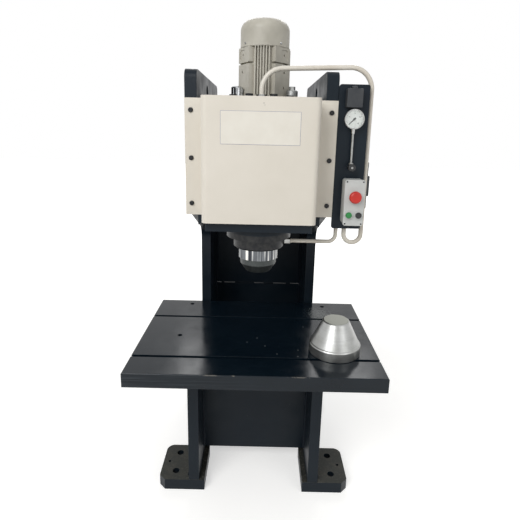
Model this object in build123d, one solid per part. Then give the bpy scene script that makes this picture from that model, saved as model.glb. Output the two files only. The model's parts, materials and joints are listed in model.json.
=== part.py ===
from build123d import *
import os
from math import radians, tan

# Hydraulic press with a C-shaped welded frame. A vertical cylinder hangs between the arms behind a
# folded cover, an oil tank with a motor and pump stands at the back, and the valve block, the gauge
# and the push buttons are on a bracket at the right.
# Millimetres. X runs to the right, Y to the back and Z up. The origin is on the floor, in the middle
# of the outline from the table's front edge to the frame's back edge.

# Table
table_width = 850.0
table_depth = 600.0
table_thick = 50.0
table_height = 620.0
table_lead = 190.0
table_edge = 2.0
slot_pitch = 320.0
slot_mouth = 14.0
slot_mouth_deep = 14.0
slot_wide = 24.0
slot_wide_deep = 10.0
table_hole = 17.5
table_hole_span = 572.0
table_hole_front = 265.0
table_hole_rear_in = 40.0

# Frame
frame_width = 500.0
frame_depth = 710.0
frame_height = 1565.0
plate_thick = 40.0
column_gap = 10.0
throat_radius = 70.0
arm_lead = 29.0
arm_low = 1112.0
arm_slope = 23.0
corner_radius = 30.0
lifting_hole = 50.0
lifting_drop = 55.0
lifting_setback = 330.0
web_thick = 20.0
front_web_setback = 150.0
front_web_low = 75.0
rear_web_inset = 5.0
seam_height = 607.0
seam_gap = 4.0
seam_welds = ((-181.0, 10.0), (-69.0, 92.0), (53.0, 44.0), (154.0, 16.0))

# Feet
foot_thick = 45.0
foot_depth = 188.0
foot_reach = 118.0
rear_foot_reach = 92.0
foot_inset = 20.0
foot_chamfer = 24.0
foot_corner = 30.0
anchor_hole = 26.0
anchor_spacing = 98.0
anchor_reach = 58.0
rear_anchor_reach = 46.0
levelling_hole = 10.2
levelling_reach = 93.0
rear_levelling_reach = 74.0

# Cylinder and ram
ram_setback = 270.0
rod_dia = 140.0
bore_dia = 180.0
barrel_dia = 225.0
flange_dia = 310.0
flange_thick = 40.0
seat_low = 1056.0
seat_thick = 86.0
seat_lead = 145.0
seat_back = 160.0
seat_gap = 6.0
barrel_below_seat = 22.0
gland_flange = 20.0
gland_boss_dia = 176.0
gland_boss = 39.0
gland_spigot = 52.0
gland_edge = 4.0
stroke = 250.0
piston_height = 60.0
piston_spigot_dia = 90.0
bottom_play = 3.0
top_play = 35.0
end_cap_thick = 35.0
rod_shown = 39.0
nose_height = 50.0
nose_dia = 128.0
nose_tip_dia = 88.0
nose_taper = 27.0
nose_edge = 3.0
tool_thread = 21.0
tool_thread_deep = 30.0
running = 0.05
screw_circle_gap = 18.0
cylinder_screws_count = 8
screw_dia = 16.0
screw_head_dia = 24.0
screw_head = 16.0
socket_share = 0.55

# Front cover
cover_width = 360.0
cover_lead = 170.0
cover_low = 1088.0
cover_height = 385.0
cover_sheet = 3.0
cover_bend = 18.0
cover_screw_head = 5.0
cover_screw_head_dia = 16.0
cover_screw_rows = (0.1, 0.5, 0.9)

# Oil tank
tank_depth = 345.0
tank_low = 1010.0
tank_height = 475.0
tank_wall = 6.0
tank_lip = 24.0
lid_thick = 10.0
lid_gap = 1.0
lid_screw_head = 6.0
lid_screw_head_dia = 14.0
cap_x = -100.0
cap_lip_gap = 1.0
cap_dia = 46.0
cap_height = 32.0
cap_edge = 4.0
cap_flutes = 12
cap_flute_dia = 5.0
neck_dia = 34.0
neck_height = 14.0
neck_wall = 3.0
filter_x = 120.0
filter_setback = 35.0
filter_dia = 46.0
filter_height = 35.0
filter_bolt_dia = 22.0
filter_bolt = 14.0
level_x = 120.0
level_low = 1150.0
level_length = 130.0
level_width = 34.0
level_thick = 4.0
level_ridge = 5.0
level_end = 30.0

# Motor and pump
motor_x = 8.0
motor_setback = 100.0
motor_flange_dia = 196.0
motor_flange_thick = 14.0
motor_length = 191.0
motor_core_dia = 168.0
motor_rim = 10.0
motor_turn = 6.0
motor_fin_dia = 190.0
motor_fin_thick = 4.0
motor_fin_pitch = 10.9
motor_fin_front_count = 6
motor_fin_side_count = 3
motor_pad_angle = 54.5
motor_pad_width = 88.0
motor_pad_dia = 190.0
motor_pad_root = 14.0
motor_pad_corner = 3.0
motor_pad_gap = 6.0
motor_pad_upper = 57.0
motor_pad_recess = 40.0
motor_pad_recess_corner = 8.0
motor_pad_recess_deep = 2.5
motor_pad_recess_out = 12.0
motor_pad_hole = 9.0
motor_pad_hole_deep = 12.0
rotor_dia = 92.0
rotor_gap = 0.4
rotor_end_gap = 8.0
shaft_dia = 28.0
shaft_below = 55.0
cowl_dia = 197.0
cowl_height = 105.0
cowl_lap = 8.0
cowl_sheet = 2.0
cowl_shoulder = 42.0
cowl_slots = 20
cowl_slot_width = 5.0
cowl_slot_inner = (14.0, 31.0)
cowl_slot_outer = (36.0, 56.0)
fan_hub_dia = 44.0
fan_height = 30.0
fan_blades = 7
fan_blade_thick = 3.0
fan_tip_gap = 8.0
fan_low_gap = 10.0
terminal_width = 100.0
terminal_deep = 58.0
terminal_tall = 96.0
terminal_low = 55.0
terminal_lid = 8.0
terminal_lid_lap = 2.0
terminal_lid_corner = 6.0
terminal_gland_dia = 24.0
terminal_gland_length = 16.0
terminal_gland_back = 24.0
bell_dia = 124.0
bell_wall = 8.0
bell_length = 100.0
bell_floor = 12.0
lid_hole_dia = 80.0
coupling_dia = 60.0
coupling_length = 65.0
pump_shaft_dia = 18.0
pump_shaft_deep = 80.0
pump_shaft_end = 2.0
pump_width = 96.0
pump_tall = 100.0
pump_corner = 14.0
strainer_dia = 76.0
strainer_height = 120.0
suction_dia = 26.0
suction_length = 125.0

# Pipes, valve block and side bracket
bracket_sheet = 6.0
bracket_reach = 100.0
bracket_low = 1050.0
bracket_height = 475.0
bracket_flange_low = 1122.0
bracket_flange_deep = 124.0
bracket_flange_drop = 8.0
bracket_corner = 8.0
manifold_width = 80.0
manifold_deep = 128.0
manifold_low = 1100.0
manifold_tall = 185.0
manifold_gap = 2.0
top_pipe_dia = 16.0
top_pipe_gap = 4.0
top_pipe_rise = 12.0
top_pipe_reach = 361.0
top_pipe_bend = 70.0
top_pipe_drop = 106.0
top_pipe_return = 60.0
bottom_pipe_dia = 14.0
bottom_pipe_bend = 26.0
bottom_pipe_in = 16.0
port_boss = 4.0
port_boss_dia = 28.0
port_root = 6.0
supply_pipe_dia = 20.0
supply_pipe_x = 170.0
supply_pipe_bend = 34.0
supply_pipe_low = 65.0
supply_pipe_step = 70.0
supply_pipe_in = 34.0
supply_hole_gap = 1.0
nut_across = 24.0
top_nut_across = 32.0
nut_length = 20.0
valve_thick = 46.0
valve_deep = 70.0
valve_tall = 70.0
valve_setback = 39.0
coil_size = 42.0
coil_length = 46.0
relief_across = 30.0
relief_length = 26.0
relief_stem_dia = 10.0
relief_stem = 18.0
relief_knob_dia = 34.0
relief_knob_length = 22.0
relief_up = 45.0
knob_gap = 0.5

# Gauge, shut-off and pressure switch
gauge_x = 300.0
gauge_z = 1416.0
gauge_dia = 63.0
gauge_deep = 28.0
gauge_rim = 7.0
gauge_rim_wall = 2.5
gauge_glass_thick = 1.5
gauge_glass_inset = 0.5
gauge_stem_dia = 12.0
gauge_stem = 14.0
gauge_axis_back = 14.0
needle_thick = 1.0
needle_width = 2.4
needle_tail = 6.0
needle_short = 4.0
needle_hub_dia = 7.0
needle_gap = 0.6
needle_pin_dia = 2.0
gauge_line_dia = 8.0
shutoff_z = 1262.0
shutoff_dia = 18.0
shutoff_front = 26.0
shutoff_boss_dia = 15.0
shutoff_boss = 14.0
shutoff_stem_dia = 7.0
shutoff_stem = 16.0
shutoff_knob_dia = 24.0
shutoff_knob_length = 14.0
hole_gap = 0.4
switch_x = 296.0
switch_low = 1452.0
switch_width = 50.0
switch_deep = 34.0
switch_tall = 58.0
switch_cap_dia = 18.0
switch_cap = 8.0

# Push button box
box_x = 311.0
box_low = 1073.0
box_width = 66.0
box_tall = 152.0
box_deep = 58.0
box_lid = 12.0
box_corner = 8.0
stop_up = 97.0
stop_dia = 40.0
stop_head = 14.0
stop_stem_dia = 20.0
stop_travel = 4.0
stop_collar_dia = 34.0
stop_collar = 6.0
button_up = 36.0
button_spread = 32.0
button_dia = 20.0
button_collar_dia = 28.0
button_collar = 5.0
button_proud = 3.5
button_travel = 3.0
button_deep = 8.0
button_gap = 0.4

# Loose pressing cone on the table
cone_inset = 148.0
cone_setback = 175.0
cone_dia = 178.0
cone_band = 36.0
cone_height = 119.0
cone_top_dia = 84.0
cone_edge = 5.0

# Places worked out from the sizes above
front_y = -(table_lead + frame_depth) / 2
rear_y = (table_lead + frame_depth) / 2
plate_front = front_y + table_lead
plate_out = frame_width / 2
plate_in = plate_out - plate_thick
column_front = front_y + table_depth + column_gap
table_low = table_height - table_thick
ram_y = front_y + ram_setback
arm_front = ram_y - arm_lead
arm_back_low = arm_low - (column_front - arm_front) * tan(radians(arm_slope))
web_back = rear_y - rear_web_inset
seat_top = seat_low + seat_thick
barrel_low = seat_low - barrel_below_seat
gland_low = barrel_low - gland_flange
boss_low = gland_low - gland_boss
gland_top = barrel_low + gland_spigot
piston_low = gland_top + bottom_play + stroke
barrel_top = piston_low + piston_height + top_play
cap_top = barrel_top + end_cap_thick
rod_low = boss_low - rod_shown
nose_low = rod_low - nose_height
barrel_r = barrel_dia / 2
supply_hole = supply_pipe_dia + 2 * supply_hole_gap
cover_front = ram_y - cover_lead
cover_half = cover_width / 2
seat_half = cover_half - cover_sheet - seat_gap
tank_back = rear_y - rear_web_inset
tank_front = tank_back - tank_depth
tank_top = tank_low + tank_height
lid_top = tank_top + lid_thick
motor_y = tank_front + motor_setback
cap_y = tank_front + tank_lip + neck_dia / 2 + cap_lip_gap
motor_low = lid_top + motor_flange_thick
motor_top = motor_low + motor_length
cowl_low = motor_top - cowl_lap
cowl_top = cowl_low + cowl_height
bell_low = tank_top - bell_length
leaf_front = arm_front - bracket_sheet / 2
leaf_back = leaf_front + bracket_sheet
bracket_top = bracket_low + bracket_height
bracket_out = plate_out + bracket_reach
manifold_in = plate_out + bracket_sheet
manifold_out = manifold_in + manifold_width
manifold_front = leaf_back + manifold_gap
manifold_back = manifold_front + manifold_deep
manifold_top = manifold_low + manifold_tall
top_pipe_end_x = top_pipe_reach - top_pipe_return
top_pipe_over_plate = frame_height + top_pipe_gap + top_pipe_dia / 2
top_pipe_over_nut = cap_top + nut_length + top_pipe_bend
top_pipe_left = max(top_pipe_over_plate - top_pipe_rise * plate_in / top_pipe_reach, top_pipe_over_nut)
top_pipe_right = top_pipe_left + top_pipe_rise
top_pipe_low = manifold_low - top_pipe_drop
bottom_pipe_end_x = manifold_in + bottom_pipe_in
port_z = (gland_low + boss_low) / 2
port_face = gland_boss_dia / 2 + port_boss
supply_y = manifold_back - supply_pipe_in
supply_levels = (manifold_low + supply_pipe_low, manifold_low + supply_pipe_low + supply_pipe_step)
gauge_front = leaf_front - gauge_deep
gauge_axis = leaf_front - gauge_axis_back
gauge_stem_low = gauge_z - gauge_dia / 2 - gauge_stem
box_front = leaf_front - box_deep
collar_front = box_front - button_collar
cone_x = table_width / 2 - cone_inset
cone_y = front_y + cone_setback


# Helpers


def block(x0, x1, y0, y1, z0, z1):
    return Pos((x0 + x1) / 2, (y0 + y1) / 2, (z0 + z1) / 2) * Box(x1 - x0, y1 - y0, z1 - z0)


def round_x(x0, x1, y, z, dia):
    return Pos((x0 + x1) / 2, y, z) * Rot(0, 90, 0) * Cylinder(dia / 2, x1 - x0)


def round_y(x, y0, y1, z, dia):
    return Pos(x, (y0 + y1) / 2, z) * Rot(90, 0, 0) * Cylinder(dia / 2, y1 - y0)


def round_z(x, y, z0, z1, dia):
    return Pos(x, y, (z0 + z1) / 2) * Cylinder(dia / 2, z1 - z0)


def turned(x, y, *profile):
    # A profile of radius and height points, turned about a vertical axis at x, y.
    face = Plane.XZ * make_face(Polyline(*profile, close=True))
    return Pos(x, y, 0) * revolve(face, Axis.Z)


def hexagon_z(x, y, z0, z1, across):
    return Pos(x, y, z0) * extrude(RegularPolygon(across / 2, 6, major_radius=False), z1 - z0)


def pipe(points, bend, dia):
    path = FilletPolyline(*points, radius=bend)
    return sweep(Plane(origin=path @ 0, z_dir=path % 0) * Circle(dia / 2), path=path)


def cap_screw(x, y, seat, dia, head_dia, head, length):
    # A socket screw that stands head up, with its head on the seat and its shank below it.
    screw = round_z(x, y, seat, seat + head, head_dia) + round_z(x, y, seat - length, seat, dia)
    return screw - hexagon_z(x, y, seat + head / 2, seat + head, head_dia * socket_share)


# Frame


def side_plate(side):
    outline = Polyline(
        (plate_front, foot_thick),
        (rear_y, foot_thick),
        (rear_y, frame_height),
        (arm_front, frame_height),
        (arm_front, arm_low),
        (column_front, arm_back_low),
        (column_front, table_low),
        (plate_front, table_low),
        close=True,
    )
    face = make_face(outline)
    corners = face.vertices()
    throat = corners.sort_by(lambda v: abs(v.X - column_front) + abs(v.Y - arm_back_low))[0]
    face = fillet(throat, throat_radius)
    tops = face.vertices().sort_by(Axis.Y)[-2:]
    face = fillet(tops, corner_radius)
    hole = Pos(plate_front + lifting_setback, frame_height - lifting_drop) * Circle(lifting_hole / 2)
    x0 = plate_in if side > 0 else -plate_out
    plate = extrude(Plane.YZ.offset(x0) * (face - hole), plate_thick)
    if side > 0:
        for z in supply_levels:
            plate -= round_x(plate_in - 1, plate_out + 1, supply_y, z, supply_hole)
    return plate


def foot(side, end):
    # The pad under one corner, with its outer front corner cut off and its other outer corner round.
    near = plate_front if end < 0 else rear_y
    far = near - end * foot_depth
    reach = foot_reach if end < 0 else rear_foot_reach
    anchor = anchor_reach if end < 0 else rear_anchor_reach
    levelling = levelling_reach if end < 0 else rear_levelling_reach
    inner = side * (plate_in - foot_inset)
    outer = side * (plate_out + reach)
    face = make_face(Polyline((inner, near), (outer, near), (outer, far), (inner, far), close=True))
    cut = face.vertices().sort_by(lambda v: abs(v.X - outer) + abs(v.Y - near))[0]
    face = chamfer(cut, foot_chamfer)
    turn = face.vertices().sort_by(lambda v: abs(v.X - outer) + abs(v.Y - far))[0]
    face = fillet(turn, foot_corner)
    middle = (near + far) / 2
    for step in (-1, 1):
        anchor_y = middle + step * anchor_spacing / 2
        face -= Pos(side * (plate_out + anchor), anchor_y) * Circle(anchor_hole / 2)
    face -= Pos(side * (plate_out + levelling), middle) * Circle(levelling_hole / 2)
    return extrude(face, foot_thick)


def table():
    top = block(-table_width / 2, table_width / 2, front_y, front_y + table_depth, table_low, table_height)
    top = chamfer(top.edges().group_by(Axis.Z)[-1], table_edge)
    long = table_width / 2 + 1
    mouth_low = table_height - slot_mouth_deep
    for step in (-1, 1):
        y = ram_y + step * slot_pitch / 2
        top -= block(-long, long, y - slot_mouth / 2, y + slot_mouth / 2, mouth_low, table_height + 1)
        wide_low = mouth_low - slot_wide_deep
        top -= block(-long, long, y - slot_wide / 2, y + slot_wide / 2, wide_low, mouth_low)
    for x in (-table_hole_span / 2, table_hole_span / 2):
        for y in (front_y + table_hole_front, front_y + table_depth - table_hole_rear_in):
            top -= round_z(x, y, table_low - 1, table_height + 1, table_hole)
    return top


def front_web_plate():
    y = plate_front + front_web_setback
    return block(-plate_in, plate_in, y, y + web_thick, front_web_low, table_low)


def lower_rear_web():
    # The stitch welds that hold it to the plate above are short tabs along its top edge.
    front = web_back - web_thick
    web = block(-plate_in, plate_in, front, web_back, foot_thick, seam_height)
    for x, length in seam_welds:
        half = length / 2
        web += block(x - half, x + half, front, web_back, seam_height, seam_height + seam_gap)
    return web


def upper_rear_web():
    return block(-plate_in, plate_in, web_back - web_thick, web_back, seam_height + seam_gap, tank_low)


def cylinder_seat():
    nose = ram_y - seat_lead
    plan = Polyline(
        (-seat_half, nose),
        (seat_half, nose),
        (seat_half, arm_front),
        (plate_in, arm_front),
        (plate_in, ram_y + seat_back),
        (-plate_in, ram_y + seat_back),
        (-plate_in, arm_front),
        (-seat_half, arm_front),
        close=True,
    )
    seat = Pos(0, 0, seat_low) * extrude(make_face(plan), seat_thick)
    return seat - round_z(0, ram_y, seat_low - 1, seat_top + 1, barrel_dia + 2 * running)


# Cylinder


def cylinder_barrel():
    barrel = turned(
        0,
        ram_y,
        (bore_dia / 2, barrel_low),
        (barrel_r, barrel_low),
        (barrel_r, seat_top),
        (flange_dia / 2, seat_top),
        (flange_dia / 2, seat_top + flange_thick),
        (barrel_r, seat_top + flange_thick),
        (barrel_r, barrel_top),
        (bore_dia / 2, barrel_top),
    )
    for place in screw_places(flange_dia / 2 - screw_circle_gap):
        barrel -= place * Pos(0, 0, seat_top - 1) * Cylinder(
            screw_dia / 2, flange_thick + 2, align=(Align.CENTER, Align.CENTER, Align.MIN)
        )
    return barrel


def screw_places(radius):
    return [Pos(0, ram_y, 0) * place for place in PolarLocations(radius, cylinder_screws_count, 22.5)]


def cylinder_gland():
    rod_way = rod_dia / 2 + running
    gland = turned(
        0,
        ram_y,
        (rod_way, boss_low),
        (gland_boss_dia / 2 - gland_edge, boss_low),
        (gland_boss_dia / 2, boss_low + gland_edge),
        (gland_boss_dia / 2, gland_low),
        (barrel_r, gland_low),
        (barrel_r, barrel_low),
        (bore_dia / 2, barrel_low),
        (bore_dia / 2, gland_top),
        (rod_way, gland_top),
    )
    port = round_x(rod_way + port_root, port_face, ram_y, port_z, port_boss_dia)
    return gland + port


def cylinder_end_cap():
    cap = round_z(0, ram_y, barrel_top, cap_top, barrel_dia)
    cap = chamfer(cap.edges().group_by(Axis.Z)[-1], 3)
    for place in screw_places(cap_screw_radius()):
        cap -= place * Pos(0, 0, barrel_top - 1) * Cylinder(
            screw_dia / 2, end_cap_thick + 2, align=(Align.CENTER, Align.CENTER, Align.MIN)
        )
    return cap


def cap_screw_radius():
    return (bore_dia / 2 + barrel_r) / 2 - 2


def cylinder_screws():
    screws = []
    for radius, seat, length in (
        (flange_dia / 2 - screw_circle_gap, seat_top + flange_thick, flange_thick),
        (cap_screw_radius(), cap_top, end_cap_thick),
    ):
        for place in screw_places(radius):
            spot = place.position
            head = min(screw_head_dia, 2 * screw_circle_gap)
            screws.append(cap_screw(spot.X, spot.Y, seat, screw_dia, head, screw_head, length))
    return Compound(screws)


def piston():
    return turned(
        0,
        ram_y,
        (piston_spigot_dia / 2, piston_low),
        (bore_dia / 2 - running, piston_low),
        (bore_dia / 2 - running, piston_low + piston_height),
        (piston_spigot_dia / 2, piston_low + piston_height),
    )


def piston_rod():
    return turned(
        0,
        ram_y,
        (0, rod_low),
        (rod_dia / 2, rod_low),
        (rod_dia / 2, piston_low),
        (piston_spigot_dia / 2, piston_low),
        (piston_spigot_dia / 2, piston_low + piston_height),
        (0, piston_low + piston_height),
    )


def ram_nose():
    return turned(
        0,
        ram_y,
        (0, nose_low + tool_thread_deep),
        (tool_thread / 2, nose_low + tool_thread_deep),
        (tool_thread / 2, nose_low),
        (nose_tip_dia / 2, nose_low),
        (nose_dia / 2 - nose_edge / 3, nose_low + nose_taper),
        (nose_dia / 2, nose_low + nose_taper + nose_edge),
        (nose_dia / 2, rod_low),
        (0, rod_low),
    )


# Front cover


def front_cover():
    # One folded sheet: a front panel, two side walls and two flanges that lie on the arms' front edges.
    half = cover_half - cover_sheet
    bend = cover_bend - cover_sheet
    path = FilletPolyline(
        (-plate_out, arm_front),
        (-half, arm_front),
        (-half, cover_front + cover_sheet),
        (half, cover_front + cover_sheet),
        (half, arm_front),
        (plate_out, arm_front),
        radius=bend,
    )
    skin = make_face(offset(path, cover_sheet, side=Side.RIGHT))
    return Pos(0, 0, cover_low) * extrude(skin, cover_height)


def cover_screws():
    screws = []
    for side in (-1, 1):
        for share in cover_screw_rows:
            x = side * (plate_in + plate_out) / 2
            z = cover_low + share * cover_height
            if z < arm_low + cover_screw_head_dia:
                z = arm_low + cover_screw_head_dia
            face = arm_front - cover_sheet
            head = round_y(x, face - cover_screw_head, face, z, cover_screw_head_dia)
            head = fillet(head.edges().group_by(Axis.Y)[0], cover_screw_head / 2)
            screws.append(head)
    return Compound(screws)


# Oil tank


def oil_tank():
    tank = block(-plate_in, plate_in, tank_front, tank_back, tank_low, tank_top)
    inner = plate_in - tank_wall
    front = tank_front + tank_wall
    back = tank_back - tank_wall
    tank -= block(-inner, inner, front, back, tank_low + tank_wall, tank_top - tank_wall)
    mouth = plate_in - tank_lip
    front = tank_front + tank_lip
    back = tank_back - tank_lip
    return tank - block(-mouth, mouth, front, back, tank_top - tank_wall - 1, tank_top + 1)


def tank_lid():
    half = plate_in - lid_gap
    lid = block(-half, half, tank_front, tank_back, tank_top, lid_top)
    lid -= round_z(motor_x, motor_y, tank_top - 1, lid_top + 1, lid_hole_dia)
    lid -= round_z(cap_x, cap_y, tank_top - 1, lid_top + 1, neck_dia)
    return lid


def lid_screw_places():
    edge = tank_lip / 2
    xs = (-(plate_in - edge), plate_in - edge)
    ys = (tank_front + edge, (tank_front + tank_back) / 2, tank_back - edge)
    return [(x, y) for x in xs for y in ys]


def lid_screws():
    high = lid_top + lid_screw_head
    return Compound([
        hexagon_z(x, y, lid_top, high, lid_screw_head_dia) for x, y in lid_screw_places()
    ])


def filler_neck():
    low = tank_top - tank_wall
    top = lid_top + neck_height
    return turned(
        cap_x,
        cap_y,
        (neck_dia / 2 - neck_wall, low),
        (neck_dia / 2, low),
        (neck_dia / 2, top),
        (neck_dia / 2 - neck_wall, top),
    )


def filler_cap():
    low = lid_top + neck_height + knob_gap
    top = low + cap_height
    skirt = low - neck_height / 2
    inner = neck_dia / 2 + knob_gap
    cap = turned(
        cap_x,
        cap_y,
        (0, low),
        (inner, low),
        (inner, skirt),
        (cap_dia / 2, skirt),
        (cap_dia / 2, top - cap_edge),
        (cap_dia / 2 - cap_edge, top),
        (0, top),
    )
    flute_top = top - 2 * cap_edge
    for place in PolarLocations(cap_dia / 2 + cap_flute_dia / 4, cap_flutes):
        spot = place.position
        cap -= round_z(cap_x + spot.X, cap_y + spot.Y, skirt - 1, flute_top, cap_flute_dia)
    return cap


def return_filter():
    y = tank_front + filter_setback
    head = round_z(filter_x, y, lid_top, lid_top + filter_height, filter_dia)
    head = chamfer(head.edges().group_by(Axis.Z)[-1], 3)
    top = lid_top + filter_height
    return head + hexagon_z(filter_x, y, top, top + filter_bolt, filter_bolt_dia)


def level_gauge():
    # A sight glass frame with its two hollow bolts, flat on the tank's back wall.
    half = level_width / 2
    top = level_low + level_length
    body = block(level_x - half, level_x + half, tank_back, tank_back + level_thick, level_low, top)
    low, high = level_low + level_end, top - level_end
    ridge = block(level_x - half / 2, level_x + half / 2, tank_back, tank_back + level_ridge, low, high)
    return body + ridge


# Motor


def motor_flange():
    flange = round_z(motor_x, motor_y, lid_top, motor_low, motor_flange_dia)
    return flange - round_z(motor_x, motor_y, lid_top - 1, motor_low + 1, shaft_dia + 2 * running)


def motor_fin_offsets(count):
    return [(i - (count - 1) / 2) * motor_fin_pitch for i in range(count)]


def motor_body():
    # Cast shell with upright cooling fins between four columns of screw pads.
    plan = Circle(motor_core_dia / 2)
    fin_r = motor_fin_dia / 2
    for i in range(4):
        count = motor_fin_front_count if i % 2 else motor_fin_side_count
        for step in motor_fin_offsets(count):
            plan += Rot(0, 0, 90 * i) * Pos(fin_r / 2, step) * Rectangle(fin_r, motor_fin_thick)
    shell = Pos(0, 0, motor_low) * extrude(plan, motor_length - motor_rim)
    rim_r = cowl_dia / 2 - cowl_sheet - running
    body = shell + Pos(0, 0, motor_top - motor_rim) * extrude(Circle(rim_r), motor_rim)
    upper_top = motor_top - motor_rim
    upper_low = upper_top - motor_pad_upper
    for side in (-1, 1):
        for end in (-1, 1):
            turn = end * (90 - motor_pad_angle)
            if side < 0:
                turn = 180 - turn
            outward = -side * end
            body += Rot(0, 0, turn) * pad(upper_low, upper_top, 1, outward)
            body += Rot(0, 0, turn) * pad(motor_low, upper_low - motor_pad_gap, 2, outward)
    half = terminal_width / 2 - terminal_lid_corner
    low = motor_low + terminal_low
    body += block(-half, half, 0, fin_r, low, low + terminal_tall)
    way = round_z(0, 0, motor_low - 1, motor_top + 1, shaft_dia + 2 * running)
    way += round_z(0, 0, motor_low + motor_rim, motor_top - motor_rim, rotor_dia + 2 * rotor_gap)
    return on_motor(body - way)


def on_motor(shape):
    # Turns a piece drawn about the origin with the motor, and sets it on the motor's axis.
    return Pos(motor_x, motor_y, 0) * Rot(0, 0, -motor_turn) * shape


def pad(z0, z1, holes, outward):
    # One flat pad that faces +X, with blind holes nearer its outer side, and a recess round a lone hole.
    face = motor_pad_dia / 2
    half = motor_pad_width / 2
    shape = block(motor_core_dia / 2 - motor_pad_root, face, -half, half, z0, z1)
    shape = fillet(shape.edges().filter_by(Axis.X), motor_pad_corner)
    step = (z1 - z0) / holes
    y = outward * motor_pad_recess_out
    for i in range(holes):
        z = z0 + (i + 0.5) * step
        if holes == 1:
            dent = Pos(face, y, z) * Box(2 * motor_pad_recess_deep, motor_pad_recess, motor_pad_recess)
            shape -= fillet(dent.edges().filter_by(Axis.X), motor_pad_recess_corner)
        shape -= round_x(face - motor_pad_hole_deep, face, y, z, motor_pad_hole)
    return shape


def rotor_shaft():
    # The motor's shaft with the rotor core pressed on, from the coupling up to the fan.
    top = motor_top + fan_low_gap + fan_height
    core_low = motor_low + motor_rim + rotor_end_gap
    core_top = motor_top - motor_rim - rotor_end_gap
    return turned(
        motor_x,
        motor_y,
        (0, tank_top - shaft_below),
        (shaft_dia / 2, tank_top - shaft_below),
        (shaft_dia / 2, core_low),
        (rotor_dia / 2, core_low),
        (rotor_dia / 2, core_top),
        (shaft_dia / 2, core_top),
        (shaft_dia / 2, top),
        (0, top),
    )


def fan():
    low = motor_top + fan_low_gap
    plan = Circle(fan_hub_dia / 2)
    reach = cowl_dia / 2 - cowl_sheet - fan_tip_gap
    for i in range(fan_blades):
        plan += Rot(0, 0, i * 360 / fan_blades) * Pos(reach / 2, 0) * Rectangle(reach, fan_blade_thick)
    plan -= Circle(shaft_dia / 2)
    return Pos(motor_x, motor_y, low) * extrude(plan, fan_height)


def fan_cowl():
    shell = round_z(0, 0, cowl_low, cowl_top, cowl_dia)
    shell = fillet(shell.edges().group_by(Axis.Z)[-1], cowl_shoulder)
    hollow = round_z(0, 0, cowl_low - cowl_shoulder, cowl_top - cowl_sheet, cowl_dia - 2 * cowl_sheet)
    hollow = fillet(hollow.edges().group_by(Axis.Z)[-1], cowl_shoulder - cowl_sheet)
    cowl = shell - hollow
    for (r0, r1), count in ((cowl_slot_inner, cowl_slots // 2), (cowl_slot_outer, cowl_slots)):
        for i in range(count):
            slot = SlotOverall(r1 - r0, cowl_slot_width)
            place = Rot(0, 0, i * 360 / count) * Pos((r0 + r1) / 2, 0, cowl_top - cowl_shoulder)
            cowl -= place * extrude(slot, cowl_shoulder + 1)
    return Pos(motor_x, motor_y, 0) * cowl


def terminal_box():
    half = terminal_width / 2
    lid_half = half + terminal_lid_lap
    low = motor_low + terminal_low
    top = low + terminal_tall
    seat = motor_fin_dia / 2
    back = seat + terminal_deep
    box = block(-half, half, seat, back - terminal_lid, low, top)
    lid_low = low - terminal_lid_lap
    lid_high = top + terminal_lid_lap
    lid = block(-lid_half, lid_half, back - terminal_lid, back, lid_low, lid_high)
    lid = fillet(lid.edges().filter_by(Axis.Y), terminal_lid_corner)
    gland_y = seat + terminal_gland_back
    gland = round_x(half, half + terminal_gland_length, gland_y, (low + top) / 2, terminal_gland_dia)
    return on_motor(box + lid + gland)


# Pump in the tank


def bell_housing():
    top = tank_top
    floor_top = bell_low + bell_floor
    way = pump_shaft_dia / 2 + 6
    return turned(
        motor_x,
        motor_y,
        (way, bell_low),
        (bell_dia / 2, bell_low),
        (bell_dia / 2, top),
        (bell_dia / 2 - bell_wall, top),
        (bell_dia / 2 - bell_wall, floor_top),
        (way, floor_top),
    )


def pump_drive_shaft():
    # The pump's shaft with the coupling sleeve that grips the end of the motor's shaft.
    low = tank_top - shaft_below
    top = low + coupling_length / 2
    return turned(
        motor_x,
        motor_y,
        (0, bell_low - pump_shaft_deep),
        (pump_shaft_dia / 2, bell_low - pump_shaft_deep),
        (pump_shaft_dia / 2, low - coupling_length / 4),
        (coupling_dia / 2, low - coupling_length / 4),
        (coupling_dia / 2, top),
        (shaft_dia / 2, top),
        (shaft_dia / 2, low),
        (0, low),
    )


def pump_body():
    half = pump_width / 2
    low = bell_low - pump_tall
    body = block(motor_x - half, motor_x + half, motor_y - half, motor_y + half, low, bell_low)
    body = fillet(body.edges().filter_by(Axis.Z), pump_corner)
    hole_low = bell_low - pump_shaft_deep - pump_shaft_end
    return body - round_z(motor_x, motor_y, hole_low, bell_low + 1, pump_shaft_dia + 2 * running)


def suction_strainer():
    low = bell_low - pump_tall
    screen_top = low - suction_length
    return turned(
        motor_x,
        motor_y,
        (0, screen_top - strainer_height),
        (strainer_dia / 2, screen_top - strainer_height),
        (strainer_dia / 2, screen_top),
        (suction_dia / 2, screen_top),
        (suction_dia / 2, low),
        (0, low),
    )


# Pipes and valves


def top_pipe():
    # From the top of the cylinder over the right arm, down beside the bracket and up into the block.
    points = (
        (0, ram_y, cap_top),
        (0, ram_y, top_pipe_left),
        (top_pipe_reach, ram_y, top_pipe_right),
        (top_pipe_reach, ram_y, top_pipe_low),
        (top_pipe_end_x, ram_y, top_pipe_low),
        (top_pipe_end_x, ram_y, manifold_low),
    )
    tight = top_pipe_return / 2 - 0.5
    return pipe(points, (top_pipe_bend, top_pipe_bend, tight, tight), top_pipe_dia)


def bottom_pipe():
    points = (
        (port_face, ram_y, port_z),
        (bottom_pipe_end_x, ram_y, port_z),
        (bottom_pipe_end_x, ram_y, manifold_low),
    )
    return pipe(points, bottom_pipe_bend, bottom_pipe_dia)


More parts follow.
